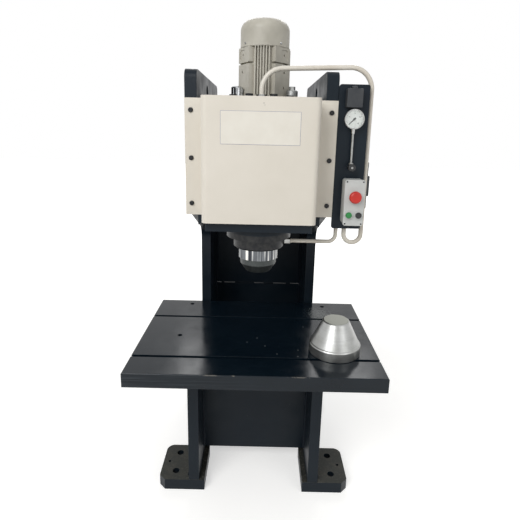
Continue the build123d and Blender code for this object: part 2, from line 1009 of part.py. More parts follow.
def supply_pipes():
    # Pressure and return lines from the tank's front wall through the right side plate.
    lines = []
    for z in supply_levels:
        points = ((supply_pipe_x, tank_front, z), (supply_pipe_x, supply_y, z), (manifold_in, supply_y, z))
        lines.append(pipe(points, supply_pipe_bend, supply_pipe_dia))
    return Compound(lines)


def pipe_nuts():
    across = nut_across
    nut = hexagon_z(0, ram_y, cap_top, cap_top + nut_length, top_nut_across)
    nuts = [nut - round_z(0, ram_y, cap_top - 1, cap_top + nut_length + 1, top_pipe_dia)]
    for x, dia in ((top_pipe_end_x, top_pipe_dia), (bottom_pipe_end_x, bottom_pipe_dia)):
        nut = hexagon_z(x, ram_y, manifold_low - nut_length, manifold_low, across)
        nuts.append(nut - round_z(x, ram_y, manifold_low - nut_length - 1, manifold_low + 1, dia))
    side = Rot(0, 90, 0) * extrude(RegularPolygon(across / 2, 6, major_radius=False), nut_length)
    side -= round_x(-1, nut_length + 1, 0, 0, bottom_pipe_dia)
    nuts.append(Pos(port_face, ram_y, port_z) * side)
    return Compound(nuts)


def valve_manifold():
    body = block(manifold_in, manifold_out, manifold_front, manifold_back, manifold_low, manifold_top)
    return chamfer(body.edges(), 1.5)


def directional_valve():
    y = manifold_front + valve_setback
    z = (manifold_low + manifold_top) / 2
    body = block(
        manifold_out, manifold_out + valve_thick, y, y + valve_deep, z - valve_tall / 2, z + valve_tall / 2
    )
    return fillet(body.edges().filter_by(Axis.X), 3)


def solenoid_coils():
    # Two square coils, one below and one above the valve, each with its round plug.
    x = manifold_out + valve_thick / 2
    y = manifold_front + valve_setback + valve_deep / 2
    z = (manifold_low + manifold_top) / 2
    coils = []
    for way in (-1, 1):
        near = z + way * valve_tall / 2
        far = near + way * coil_length
        low, high = min(near, far), max(near, far)
        half = coil_size / 2
        coil = block(x - half, x + half, y - half, y + half, low, high)
        coil = fillet(coil.edges().filter_by(Axis.Z), 5)
        coils.append(coil)
    return Compound(coils)


def relief_valve():
    x = (manifold_in + manifold_out) / 2
    z = manifold_top - relief_up
    body = Rot(-90, 0, 0) * extrude(RegularPolygon(relief_across / 2, 6, major_radius=False), relief_length)
    body = Pos(x, manifold_back, z) * body
    stem_start = manifold_back + relief_length
    return body + round_y(x, stem_start, stem_start + relief_stem, z, relief_stem_dia)


def relief_knob():
    x = (manifold_in + manifold_out) / 2
    z = manifold_top - relief_up
    start = manifold_back + relief_length + knob_gap
    knob = grip_knob(relief_knob_dia, relief_knob_length, 12)
    knob = Pos(x, start, z) * Rot(-90, 0, 0) * knob
    hole = round_y(x, start - 1, start + relief_stem, z, relief_stem_dia + 2 * running)
    return knob - hole


def grip_knob(dia, length, flutes):
    # A fluted knob that stands on its flat back face and points up.
    knob = Cylinder(dia / 2, length, align=(Align.CENTER, Align.CENTER, Align.MIN))
    knob = fillet(knob.edges().group_by(Axis.Z)[-1], length / 6)
    for place in PolarLocations(dia / 2 + dia / 24, flutes):
        knob -= place * Cylinder(dia / 12, length * 3, align=(Align.CENTER, Align.CENTER, Align.CENTER))
    return knob


# Bracket, gauge and switch


def side_bracket():
    leaf = block(plate_out, bracket_out, leaf_front, leaf_back, bracket_low, bracket_top)
    leaf = fillet(leaf.edges().filter_by(Axis.Y), bracket_corner)
    flange_back = leaf_back + bracket_flange_deep
    flange_high = bracket_top - bracket_flange_drop
    flange = block(plate_out, manifold_in, leaf_front, flange_back, bracket_flange_low, flange_high)
    bracket = leaf + flange
    for z in supply_levels:
        bracket -= round_x(plate_out - 1, manifold_in + 1, supply_y, z, supply_hole)
    return bracket - round_y(gauge_x, leaf_front - 1, leaf_back + 1, shutoff_z, shutoff_dia + 2 * hole_gap)


def gauge_case():
    dial = gauge_front + gauge_rim
    case = round_y(gauge_x, gauge_front, leaf_front, gauge_z, gauge_dia)
    case -= round_y(gauge_x, gauge_front - 1, dial, gauge_z, gauge_dia - 2 * gauge_rim_wall)
    case += round_y(gauge_x, dial - 3, dial, gauge_z, needle_pin_dia)
    stem_top = gauge_z - gauge_dia / 2 + 3
    return case + round_z(gauge_x, gauge_axis, gauge_stem_low, stem_top, gauge_stem_dia)


def gauge_glass():
    back = gauge_front + gauge_glass_inset + gauge_glass_thick
    return round_y(gauge_x, gauge_front + gauge_glass_inset, back, gauge_z, gauge_dia - 2 * gauge_rim_wall)


def gauge_needle():
    # Points down and to the left, where the scale starts.
    back = gauge_front + gauge_rim - needle_gap
    length = gauge_dia / 2 - gauge_rim_wall - needle_short
    tip = needle_width / 4
    shape = Sketch() + Circle(needle_hub_dia / 2)
    outline = [(-needle_width, -needle_tail), (needle_width, -needle_tail), (tip, length), (-tip, length)]
    shape += make_face(Polyline(*outline, close=True))
    shape -= Circle(needle_pin_dia / 2 + running)
    needle = Rot(90, 0, 0) * extrude(Rot(0, 0, 135) * shape, needle_thick)
    return Pos(gauge_x, back, gauge_z) * needle


def gauge_line():
    return round_z(gauge_x, gauge_axis, shutoff_z + shutoff_boss, gauge_stem_low, gauge_line_dia)


def gauge_shutoff():
    front = leaf_front - shutoff_front
    body = round_y(gauge_x, front, manifold_front, shutoff_z, shutoff_dia)
    body += round_z(gauge_x, gauge_axis, shutoff_z, shutoff_z + shutoff_boss, shutoff_boss_dia)
    return body + round_y(gauge_x, front - shutoff_stem, front, shutoff_z, shutoff_stem_dia)


def shutoff_knob():
    back = leaf_front - shutoff_front - knob_gap
    knob = grip_knob(shutoff_knob_dia, shutoff_knob_length, 8)
    knob = Pos(gauge_x, back, shutoff_z) * Rot(90, 0, 0) * knob
    hole = round_y(gauge_x, back - shutoff_stem, back + 1, shutoff_z, shutoff_stem_dia + 2 * running)
    return knob - hole


def pressure_switch():
    half = switch_width / 2
    top = switch_low + switch_tall
    body = block(switch_x - half, switch_x + half, leaf_front - switch_deep, leaf_front, switch_low, top)
    body = fillet(body.edges().filter_by(Axis.Y), 4)
    return body + round_z(switch_x, leaf_front - switch_deep / 2, top, top + switch_cap, switch_cap_dia)


# Push buttons


def button_box():
    # Closed box with a raised front lid and a collar round each button.
    half = box_width / 2
    top = box_low + box_tall
    parting = box_front + box_lid
    back = block(box_x - half + 1, box_x + half - 1, parting, leaf_front, box_low + 1, top - 1)
    lid = block(box_x - half, box_x + half, box_front, parting, box_low, top)
    box = fillet(back.edges().filter_by(Axis.Y), box_corner)
    box += fillet(lid.edges().filter_by(Axis.Y), box_corner)
    z = box_low + stop_up
    box += round_y(box_x, box_front - stop_collar, box_front, z, stop_collar_dia)
    stem_hole = stop_stem_dia + 2 * button_gap
    box -= round_y(box_x, box_front - stop_collar - 1, box_front + stop_hole(), z, stem_hole)
    for x in button_places():
        z = box_low + button_up
        box += round_y(x, collar_front, box_front, z, button_collar_dia)
        box -= round_y(x, collar_front - 1, box_front + button_hole(), z, button_dia + 2 * button_gap)
    return box


def stop_hole():
    return button_deep + stop_travel + 1


def button_hole():
    return button_deep + button_travel + 1


def button_places():
    return (box_x - button_spread / 2, box_x + button_spread / 2)


def emergency_stop():
    z = box_low + stop_up
    back = box_front - stop_collar - stop_travel - 1
    head = round_y(box_x, back - stop_head, back, z, stop_dia)
    head = fillet(head.edges().group_by(Axis.Y)[0], stop_head * 0.55)
    return head + round_y(box_x, back, box_front + button_deep, z, stop_stem_dia)


def push_button(x):
    z = box_low + button_up
    cap = round_y(x, collar_front - button_proud, box_front + button_deep, z, button_dia)
    return chamfer(cap.edges().group_by(Axis.Y)[0], 1)


# Loose pressing cone


def pressing_cone():
    base = cone_dia / 2
    top = cone_top_dia / 2
    z = table_height
    shoulder = base - cone_edge
    return turned(
        cone_x,
        cone_y,
        (0, z),
        (base - 2, z),
        (base, z + 2),
        (base, z + cone_band - 3),
        (base - 2, z + cone_band),
        (shoulder, z + cone_band + 2),
        (top + 4, z + cone_height - 3),
        (top, z + cone_height),
        (0, z + cone_height),
    )


# Every piece by name

pieces = {
    "left_side_plate": side_plate(-1),
    "right_side_plate": side_plate(1),
    "front_left_foot": foot(-1, -1),
    "front_right_foot": foot(1, -1),
    "rear_left_foot": foot(-1, 1),
    "rear_right_foot": foot(1, 1),
    "front_web_plate": front_web_plate(),
    "lower_rear_web": lower_rear_web(),
    "upper_rear_web": upper_rear_web(),
    "table": table(),
    "cylinder_seat": cylinder_seat(),
    "cylinder_barrel": cylinder_barrel(),
    "cylinder_gland": cylinder_gland(),
    "cylinder_end_cap": cylinder_end_cap(),
    "cylinder_screws": cylinder_screws(),
    "piston": piston(),
    "piston_rod": piston_rod(),
    "ram_nose": ram_nose(),
    "front_cover": front_cover(),
    "cover_screws": cover_screws(),
    "oil_tank": oil_tank(),
    "tank_lid": tank_lid(),
    "lid_screws": lid_screws(),
    "filler_neck": filler_neck(),
    "filler_cap": filler_cap(),
    "return_filter": return_filter(),
    "level_gauge": level_gauge(),
    "motor_flange": motor_flange(),
    "motor_body": motor_body(),
    "rotor_shaft": rotor_shaft(),
    "fan": fan(),
    "fan_cowl": fan_cowl(),
    "terminal_box": terminal_box(),
    "bell_housing": bell_housing(),
    "pump_drive_shaft": pump_drive_shaft(),
    "pump_body": pump_body(),
    "suction_strainer": suction_strainer(),
    "top_pipe": top_pipe(),
    "bottom_pipe": bottom_pipe(),
    "supply_pipes": supply_pipes(),
    "pipe_nuts": pipe_nuts(),
    "valve_manifold": valve_manifold(),
    "directional_valve": directional_valve(),
    "solenoid_coils": solenoid_coils(),
    "relief_valve": relief_valve(),
    "relief_knob": relief_knob(),
    "side_bracket": side_bracket(),
    "gauge_case": gauge_case(),
    "gauge_glass": gauge_glass(),
    "gauge_needle": gauge_needle(),
    "gauge_line": gauge_line(),
    "gauge_shutoff": gauge_shutoff(),
    "shutoff_knob": shutoff_knob(),
    "pressure_switch": pressure_switch(),
    "button_box": button_box(),
    "emergency_stop": emergency_stop(),
    "raise_button": push_button(button_places()[0]),
    "lower_button": push_button(button_places()[1]),
    "pressing_cone": pressing_cone(),
}

os.makedirs("parts", exist_ok=True)
for name, shape in pieces.items():
    export_step(shape, f"parts/{name}.step")
print(f"{len(pieces)} pieces")
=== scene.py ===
import json
from math import cos, pi, radians, sin

import bmesh
import bpy
import numpy as np
from mathutils import Matrix, Vector


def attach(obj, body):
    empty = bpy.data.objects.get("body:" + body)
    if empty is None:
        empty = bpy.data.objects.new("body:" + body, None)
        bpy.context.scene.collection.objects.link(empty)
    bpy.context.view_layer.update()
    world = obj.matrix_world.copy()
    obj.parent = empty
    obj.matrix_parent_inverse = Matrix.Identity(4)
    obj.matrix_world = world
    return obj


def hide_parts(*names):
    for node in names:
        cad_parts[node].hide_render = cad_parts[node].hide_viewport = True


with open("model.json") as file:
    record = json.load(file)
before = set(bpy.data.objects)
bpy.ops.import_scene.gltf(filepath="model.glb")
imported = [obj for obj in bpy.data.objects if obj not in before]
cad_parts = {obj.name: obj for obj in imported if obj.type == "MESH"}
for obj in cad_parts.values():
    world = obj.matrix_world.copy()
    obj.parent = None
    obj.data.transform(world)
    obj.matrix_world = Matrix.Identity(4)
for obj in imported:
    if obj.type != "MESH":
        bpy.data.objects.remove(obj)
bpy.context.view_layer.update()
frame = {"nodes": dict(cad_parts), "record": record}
nodes = frame["nodes"]
record = frame["record"]
slotOf = {part["node"]: part["material_slot"] for part in record["subparts"]}
bodyOf = {name: body for body, names in record["behaviour"]["bodies"].items() for name in names}
print("press loaded:", len(nodes), "nodes")

mm = 0.001
mergeWithin = 4e-6  # metres, points nearer than this become one


# Shapes as whole arrays

def linkPiece(name, mesh, body, finish):
    piece = bpy.data.objects.new(name, mesh)
    bpy.context.scene.collection.objects.link(piece)
    mesh.materials.clear()
    mesh.materials.append(finish)
    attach(piece, body)
    return piece


def makePiece(name, points, faces, body, slotName, finish, sharpAngle=35):
    # Points and faces go in whole, then doubles at seams and poles merge and faces turn outwards
    mesh = bpy.data.meshes.new(name)
    mesh.from_pydata(points.reshape(-1, 3).tolist(), [], faces)
    shape = bmesh.new()
    shape.from_mesh(mesh)
    bmesh.ops.remove_doubles(shape, verts=shape.verts, dist=mergeWithin)
    bmesh.ops.recalc_face_normals(shape, faces=shape.faces)
    shape.to_mesh(mesh)
    shape.free()
    mesh.shade_smooth()
    mesh.set_sharp_from_angle(angle=radians(sharpAngle))
    linkPiece(name, mesh, body, finish)


def gridFaces(rows, columns, start=0, wrapRows=False, wrapColumns=False):
    # Quads between neighbours of a grid of rows by columns
    rowSteps, columnSteps = np.arange(rows - (not wrapRows)), np.arange(columns - (not wrapColumns))
    r, c = np.meshgrid(rowSteps, columnSteps, indexing="ij")
    nextRow, nextColumn = (r + 1) % rows, (c + 1) % columns
    corners = ((r, c), (r, nextColumn), (nextRow, nextColumn), (nextRow, c))
    quads = np.stack([row * columns + column for row, column in corners], -1)
    return (quads.reshape(-1, 4) + start).tolist()


def joined(grids):
    # Several grids (points, wrapRows, wrapColumns) as one list of points and one of faces
    points, faces, start = [], [], 0
    for grid, wrapRows, wrapColumns in grids:
        rows, columns = grid.shape[:2]
        faces += gridFaces(rows, columns, start, wrapRows, wrapColumns)
        points.append(grid.reshape(-1, 3))
        start += rows * columns
    return np.concatenate(points), faces


# Steps that a finish is built from

def newFinish(name):
    finish = bpy.data.materials.new(name)
    finish.use_nodes = True
    return finish, finish.node_tree, finish.node_tree.nodes["Principled BSDF"]


def put(tree, kind, links=None, **settings):
    added = tree.nodes.new("ShaderNode" + kind)
    for key, value in settings.items():
        setattr(added, key, value)
    for key, value in (links or {}).items():
        if isinstance(value, bpy.types.NodeSocket):
            tree.links.new(value, added.inputs[key])
        else:
            added.inputs[key].default_value = value
    return added


def placeOn(tree, scale=(1, 1, 1)):
    # Object coordinates, scaled
    place = put(tree, "TexCoord").outputs["Object"]
    return put(tree, "VectorMath", {0: place, 1: scale}, operation="MULTIPLY").outputs[0]


def noise(tree, place, scale, detail=4, rough=0.55):
    links = {"Vector": place, "Scale": scale, "Detail": detail, "Roughness": rough}
    return put(tree, "TexNoise", links).outputs["Fac"]


def calc(tree, operation, a, b=0.0):
    return put(tree, "Math", {0: a, 1: b}, operation=operation).outputs[0]


def spread(tree, value, low, high, toLow=0.0, toHigh=1.0):
    # Stretches value from low..high to toLow..toHigh, and holds it there
    links = {0: value, 1: low, 2: high, 3: toLow, 4: toHigh}
    return put(tree, "MapRange", links, clamp=True).outputs[0]


def tint(tree, share, under, over):
    # Colour over laid on colour under by share; a colour is a socket or three linear numbers
    mixed = put(tree, "Mix", data_type="RGBA")
    for key, value in ((0, share), (6, under), (7, over)):
        if isinstance(value, bpy.types.NodeSocket):
            tree.links.new(value, mixed.inputs[key])
        else:
            mixed.inputs[key].default_value = value if key == 0 else (*value, 1)
    return mixed.outputs[2]


screenCurve = dict(knee=0.04045, slope=12.92, shift=0.055, power=2.4)


def rgb(red, green, blue):
    # Screen colour, 0 to 255, as the linear numbers that a shader takes
    part = np.array([red, green, blue]) / 255
    shift = screenCurve["shift"]
    steep = ((part + shift) / (1 + shift)) ** screenCurve["power"]
    return tuple(np.where(part <= screenCurve["knee"], part / screenCurve["slope"], steep).tolist())


def axes(tree, place):
    return put(tree, "SeparateXYZ", {0: place}).outputs


# What all these surfaces share: scale, detail and roughness of each noise, and where it fades
skin = dict(
    patchDetail=5, patchFade=(0.36, 0.66),
    # the smear noise and its two fades make the painted reflection bands, dark and light, on polished
    # chrome
    smudgeAndReflection=(1, 2, 0.5), paintedShadeBand=(0.5, 0.36), paintedHighlightBand=(0.56, 0.64),
    speck=(95, 3, 0.7), speckRim=0.03,
    worn=(60, 4), wornFade=(0.42, 0.66, 0.15, 1), wornTurn=(0.995, 0.86), wornSamples=4,
    glossScale=2.3, gloss=(6, 0.62), glossFade=(0.35, 0.68),
    bumpDetail=3,
)

finishes = dict(
    frame_paint=dict(
        colour=(12, 22, 31), second=(18, 28, 36), patch=5, rough=(0.32, 0.5), specular=0.2,
        bump=(260, 0.0002), speck=(0.72, (46, 50, 52)), wear=(0.002, (50, 58, 63))),
    table_paint=dict(
        colour=(10, 20, 28), second=(16, 26, 34), patch=6, rough=(0.12, 0.24), specular=0.26,
        bump=(150, 0.0001), speck=(0.745, (80, 84, 84)), wear=(0.002, (60, 68, 73))),
    cover_paint=dict(
        colour=(219, 213, 202), second=(213, 207, 195), patch=4, rough=(0.36, 0.46), specular=0.45,
        bump=(420, 0.00012), speck=(0.80, (170, 160, 142))),
    pipe_paint=dict(
        colour=(221, 216, 205), second=(208, 201, 188), patch=12, rough=(0.26, 0.4), specular=0.5,
        bump=(300, 0.00012)),
    motor_paint=dict(
        colour=(197, 193, 181), second=(176, 172, 160), patch=9, rough=(0.38, 0.55), specular=0.4,
        bump=(420, 0.0003), speck=(0.74, (120, 116, 105))),
    black_steel=dict(
        colour=(40, 41, 43), second=(54, 54, 54), patch=60, rough=(0.36, 0.5), metal=0.85,
        bump=(500, 0.0001)),
    bare_steel=dict(
        colour=(168, 169, 168), second=(140, 140, 137), patch=30, rough=(0.24, 0.4), metal=1.0,
        bump=(420, 0.00008)),
    hard_chrome=dict(
        colour=(116, 119, 122), second=(98, 101, 104), patch=12, rough=(0.06, 0.13), metal=1.0,
        # streaks: scale across and upwards, then the painted shade and painted highlight colours of
        # the chrome's reflection bands
        bump=(90, 0.00002), reflectionStreaks=(120, 3, (44, 46, 50), (214, 212, 208))),
    cast_aluminium=dict(
        colour=(172, 173, 172), second=(148, 149, 147), patch=40, rough=(0.4, 0.56), metal=0.9,
        bump=(520, 0.0003)),
    valve_iron=dict(
        colour=(58, 61, 65), second=(44, 46, 50), patch=22, rough=(0.42, 0.6), metal=0.1,
        bump=(380, 0.0003), wear=(0.0015, (96, 98, 98))),
    black_plastic=dict(
        colour=(30, 30, 32), second=(38, 38, 39), patch=30, rough=(0.42, 0.55), specular=0.45,
        bump=(900, 0.0001)),
    gauge_steel=dict(
        colour=(190, 190, 188), second=(168, 168, 165), patch=30, rough=(0.18, 0.3), metal=1.0,
        bump=(300, 0.00005)),
    box_plastic=dict(
        colour=(196, 198, 196), second=(186, 188, 186), patch=16, rough=(0.34, 0.46), specular=0.5,
        bump=(700, 0.0001)),
    red_plastic=dict(
        colour=(196, 38, 24), second=(180, 30, 20), patch=30, rough=(0.28, 0.38), specular=0.5,
        bump=(500, 0.00005)),
    green_plastic=dict(
        colour=(34, 128, 62), second=(28, 112, 54), patch=30, rough=(0.28, 0.38), specular=0.5,
        bump=(500, 0.00005)),
    cone_steel=dict(
        colour=(176, 177, 176), second=(158, 159, 156), patch=18, rough=(0.28, 0.42), metal=1.0,
        bump=(260, 0.00006)),
    nose=dict(
        colour=(70, 74, 74), second=(58, 62, 62), patch=24, rough=(0.34, 0.46), metal=0.6,
        bump=(500, 0.0001)),
    bright_cap=dict(
        colour=(206, 208, 210), second=(186, 188, 190), patch=30, rough=(0.06, 0.14), metal=1.0,
        bump=(90, 0.00002)),
    switch=dict(
        colour=(46, 49, 53), second=(58, 60, 62), patch=30, rough=(0.4, 0.55), metal=0.3,
        bump=(420, 0.0002)),
    nameplate=dict(
        colour=(226, 222, 212), second=(220, 215, 204), patch=14, rough=(0.3, 0.4), specular=0.5,
        bump=(300, 0.00005)),
    plate_border=dict(
        colour=(136, 134, 158), second=(126, 124, 150), patch=60, rough=(0.35, 0.45), specular=0.4,
        bump=(300, 0.00002)),
    weld=dict(
        colour=(12, 20, 28), second=(18, 26, 33), patch=60, rough=(0.5, 0.66), specular=0.12,
        bump=(700, 0.00015)),
    dial=dict(
        colour=(236, 236, 232), second=(230, 230, 226), patch=30, rough=(0.4, 0.5), specular=0.3,
        bump=(300, 0.00001)),
    ink=dict(
        colour=(22, 22, 24), second=(28, 28, 30), patch=60, rough=(0.4, 0.5), specular=0.3,
        bump=(300, 0.00001)),
)


def edgeWear(tree, reach, grain):
    # 1 where the surface turns sharply within reach, broken up by grain
    rounded = put(tree, "Bevel", {"Radius": reach}, samples=skin["wornSamples"]).outputs[0]
    facing = put(tree, "NewGeometry").outputs["Normal"]
    same = put(tree, "VectorMath", {0: rounded, 1: facing}, operation="DOT_PRODUCT").outputs["Value"]
    return calc(tree, "MULTIPLY", spread(tree, same, *skin["wornTurn"]), grain)


def makeFinish(name, look):
    # Two near colours in soft patches, uneven gloss, a fine skin, sparse specks, worn edges and,
    # where asked, painted reflection streaks
    finish, tree, shader = newFinish(name)
    place = placeOn(tree)
    patches = noise(tree, place, look["patch"], skin["patchDetail"])
    patches = spread(tree, patches, *skin["patchFade"])
    colour = tint(tree, patches, rgb(*look["colour"]), rgb(*look["second"]))
    if "reflectionStreaks" in look:
        # Upright dark and light bands painted into the colour: a painted reflection on the polished
        # rod, standing in for its surroundings
        across, upwards, dark, light = look["reflectionStreaks"]
        smudgeAndReflectionNoise = noise(tree, placeOn(tree, (across, across, upwards)), *skin["smudgeAndReflection"])
        colour = tint(tree, spread(tree, smudgeAndReflectionNoise, *skin["paintedShadeBand"]), colour, rgb(*dark))
        colour = tint(tree, spread(tree, smudgeAndReflectionNoise, *skin["paintedHighlightBand"]), colour, rgb(*light))
    if "speck" in look:
        share, speckColour = look["speck"]
        dots = spread(tree, noise(tree, place, *skin["speck"]), share, share + skin["speckRim"])
        colour = tint(tree, dots, colour, rgb(*speckColour))
    if "wear" in look:
        reach, wornColour = look["wear"]
        grain = spread(tree, noise(tree, place, *skin["worn"]), *skin["wornFade"])
        colour = tint(tree, edgeWear(tree, reach, grain), colour, rgb(*wornColour))
    tree.links.new(colour, shader.inputs["Base Color"])
    uneven = noise(tree, place, look["patch"] * skin["glossScale"], *skin["gloss"])
    gloss = spread(tree, uneven, *skin["glossFade"], *look["rough"])
    tree.links.new(gloss, shader.inputs["Roughness"])
    shader.inputs["Metallic"].default_value = look.get("metal", 0)
    shader.inputs["Specular IOR Level"].default_value = look.get("specular", 0.5)
    scale, depth = look["bump"]
    height = noise(tree, place, scale, skin["bumpDetail"])
    bump = put(tree, "Bump", {"Height": height, "Distance": depth, "Strength": 1.0})
    tree.links.new(bump.outputs[0], shader.inputs["Normal"])
    return finish


made = {name: makeFinish(name, look) for name, look in finishes.items()}

glassLook = dict(colour=(0.96, 0.98, 0.98), ior=1.45, rough=0.03, roughest=0.09, smudgeAndReflection=60,
                 smearFade=(0.4, 0.7))


def makeGlass(look):
    finish, tree, shader = newFinish("gauge_glass")
    smudgeAndReflectionNoise = noise(tree, placeOn(tree), look["smudgeAndReflection"])
    smudgeAndReflection = spread(tree, smudgeAndReflectionNoise, *look["smearFade"], look["rough"], look["roughest"])
    tree.links.new(smudgeAndReflection, shader.inputs["Roughness"])
    shader.inputs["Base Color"].default_value = (*look["colour"], 1)
    shader.inputs["Transmission Weight"].default_value = 1
    shader.inputs["IOR"].default_value = look["ior"]
    return finish


made["gauge_glass"] = makeGlass(glassLook)


# Marks laid over a finish

blobRim = dict(gain=4, fade=(1.0, 0.8))


def blob(centre, reach, uneven, scale):
    # A mask that is 1 inside the ellipsoid of that centre and reach, with a ragged rim
    def mask(tree, place):
        away = put(tree, "VectorMath", {0: place, 1: centre}, operation="SUBTRACT").outputs[0]
        share = put(tree, "VectorMath", {0: away, 1: reach}, operation="DIVIDE").outputs[0]
        far = put(tree, "VectorMath", {0: share}, operation="LENGTH").outputs["Value"]
        grain = calc(tree, "SUBTRACT", noise(tree, place, scale), 0.5)
        ragged = calc(tree, "MULTIPLY", grain, uneven * blobRim["gain"])
        return spread(tree, calc(tree, "ADD", far, ragged), *blobRim["fade"])

    return mask


def paintOver(finish, marks):
    # Lays marks over a finish: each is a mask with its colour, its gloss and its strength
    tree = finish.node_tree
    shader = tree.nodes["Principled BSDF"]
    place = placeOn(tree)
    for makeMask, colour, rough, strength in marks:
        mask = calc(tree, "MULTIPLY", makeMask(tree, place), strength)
        under = shader.inputs["Base Color"].links[0].from_socket
        tree.links.new(tint(tree, mask, under, rgb(*colour)), shader.inputs["Base Color"])
        base = shader.inputs["Roughness"].links[0].from_socket
        mixed = put(tree, "Mix", {0: mask, 2: base, 3: rough}, data_type="FLOAT").outputs[0]
        tree.links.new(mixed, shader.inputs["Roughness"])
    return finish


# Table: bare chips along its front top edge, a pale smudge, a few light specks and front streaks.
# Each paint is a colour, its gloss and its strength; each rim is how ragged and at what scale
tableMarks = dict(
    frontAt=-0.450, topAt=0.620,
    chips=[(-0.143, 0.026), (-0.070, 0.008), (0.138, 0.026)], chipAt=0.6195,
    chipDeep=0.003, chipTall=0.0025, chipRim=(0.9, 300), chipPaint=((112, 108, 100), 0.5, 0.6),
    smudge=(0.262, 0.040, 0.620), smudgeReach=(0.042, 0.052, 0.01), smudgeRim=(1.2, 130),
    smudgePaint=((88, 96, 92), 0.5, 0.3),
    specks=[(-0.0334, -0.2274), (0.0028, -0.1949), (0.0323, -0.2540), (0.0737, -0.3084),
            (0.1836, -0.0946), (0.149, -0.279), (0.145, -0.322)],
    speckReach=(0.0022, 0.0016, 0.002), speckRim=(0.3, 400), speckPaint=((150, 152, 150), 0.5, 0.7),
    streakScale=(5, 1, 420), streakGrain=(1, 3), streakFade=(0.5, 0.66),
    streakFront=(-0.4492, -0.4496), streakSide=(0.10, -0.42), streakPaint=((78, 84, 90), 0.45, 0.35),
)


def tableFinish(look):
    def frontStreaks(tree, place):
        # Long thin brush lines on the front face, stronger to the left
        x, y, _ = axes(tree, place)
        grain = noise(tree, placeOn(tree, look["streakScale"]), *look["streakGrain"])
        lines = spread(tree, grain, *look["streakFade"])
        front = spread(tree, y, *look["streakFront"])
        left = spread(tree, x, *look["streakSide"])
        return calc(tree, "MULTIPLY", calc(tree, "MULTIPLY", lines, front), left)

    marks = []
    for x, half in look["chips"]:
        centre = (x, look["frontAt"], look["chipAt"])
        reach = (half, look["chipDeep"], look["chipTall"])
        marks.append((blob(centre, reach, *look["chipRim"]), *look["chipPaint"]))
    smudge = blob(look["smudge"], look["smudgeReach"], *look["smudgeRim"])
    marks += [(smudge, *look["smudgePaint"]), (frontStreaks, *look["streakPaint"])]
    for x, y in look["specks"]:
        speck = blob((x, y, look["topAt"]), look["speckReach"], *look["speckRim"])
        marks.append((speck, *look["speckPaint"]))
    return paintOver(makeFinish("table_top_paint", finishes["table_paint"]), marks)


# Pads: painted sides, and a brown-grey bare top with scale and light marks by the side plate
padMarks = dict(
    topFrom=0.0446, topFade=0.0002, topPaint=((56, 57, 53), 0.62, 0.92),
    scale=(26, 5), scaleFade=(0.46, 0.62), scalePaint=((72, 70, 64), 0.66, 0.5),
    plateAt=0.250, nearPlate=0.030, farShare=0.25,
    worn=(110, 5, 0.7), wornFade=(0.54, 0.66), wornPaint=((124, 122, 114), 0.5, 0.6),
)


def padFinish(look):
    def topMask(tree, place):
        z = axes(tree, place)[2]
        return spread(tree, z, look["topFrom"], look["topFrom"] + look["topFade"])

    def patches(tree, place):
        grain = spread(tree, noise(tree, place, *look["scale"]), *look["scaleFade"])
        return calc(tree, "MULTIPLY", grain, topMask(tree, place))

    def worn(tree, place):
        side = calc(tree, "ABSOLUTE", axes(tree, place)[0])
        farFrom = look["plateAt"] + look["nearPlate"]
        near = spread(tree, side, farFrom, look["plateAt"], look["farShare"], 1)
        grain = spread(tree, noise(tree, place, *look["worn"]), *look["wornFade"])
        return calc(tree, "MULTIPLY", calc(tree, "MULTIPLY", near, grain), topMask(tree, place))

    return paintOver(makeFinish("pad_paint", finishes["frame_paint"]), [
        (topMask, *look["topPaint"]), (patches, *look["scalePaint"]), (worn, *look["wornPaint"])])


# Cone: turned sides, and a duller flat top
coneMarks = dict(
    topFrom=0.7380, topFade=0.0006, topPaint=((132, 133, 126), 0.55, 0.95),
    lines=(2, 2, 700), lineGrain=(1, 3), lineFade=(0.48, 0.62),
    linePaint=((140, 141, 140), 0.45, 0.35),
)


def coneFinish(look):
    def topMask(tree, place):
        z = axes(tree, place)[2]
        return spread(tree, z, look["topFrom"], look["topFrom"] + look["topFade"])

    def turnedLines(tree, place):
        grain = noise(tree, placeOn(tree, look["lines"]), *look["lineGrain"])
        return spread(tree, grain, *look["lineFade"])

    return paintOver(makeFinish("cone_turned", finishes["cone_steel"]),
                     [(turnedLines, *look["linePaint"]), (topMask, *look["topPaint"])])


# Cover: two tiny dark dots above the plate
coverMarks = dict(
    frontAt=-0.350, dots=[(0.0082, 1.4535, 0.0017), (0.0112, 1.4479, 0.0013)], deep=0.002,
    rim=(0.1, 500), paint=((128, 126, 122), 0.5, 0.85),
)


def coverFinish(look):
    marks = []
    for x, z, size in look["dots"]:
        dot = blob((x, look["frontAt"], z), (size, look["deep"], size), *look["rim"])
        marks.append((dot, *look["paint"]))
    return paintOver(makeFinish("cover_dotted", finishes["cover_paint"]), marks)


# Level gauge: a clear strip with oil up to two thirds
levelMarks = dict(
    middle=0.120, half=0.006, sideFade=0.0003, low=1.184, high=1.246, endFade=0.0004, oilTo=1.226,
    clearPaint=((206, 208, 200), 0.1, 0.9), oilPaint=((150, 100, 34), 0.1, 0.95),
)


def levelFinish(look):
    def strip(low, high):
        def mask(tree, place):
            x, _, z = axes(tree, place)
            away = calc(tree, "ABSOLUTE", calc(tree, "SUBTRACT", x, look["middle"]))
            inside = spread(tree, away, look["half"], look["half"] - look["sideFade"])
            above = spread(tree, z, low, low + look["endFade"])
            below = spread(tree, z, high, high - look["endFade"])
            return calc(tree, "MULTIPLY", inside, calc(tree, "MULTIPLY", above, below))

        return mask

    return paintOver(makeFinish("level_window", finishes["cast_aluminium"]), [
        (strip(look["oilTo"], look["high"]), *look["clearPaint"]),
        (strip(look["low"], look["oilTo"]), *look["oilPaint"])])


made["level_window"] = levelFinish(levelMarks)
made["cover_dotted"] = coverFinish(coverMarks)
made["cone_turned"] = coneFinish(coneMarks)
made["table_top_paint"] = tableFinish(tableMarks)
made["pad_paint"] = padFinish(padMarks)

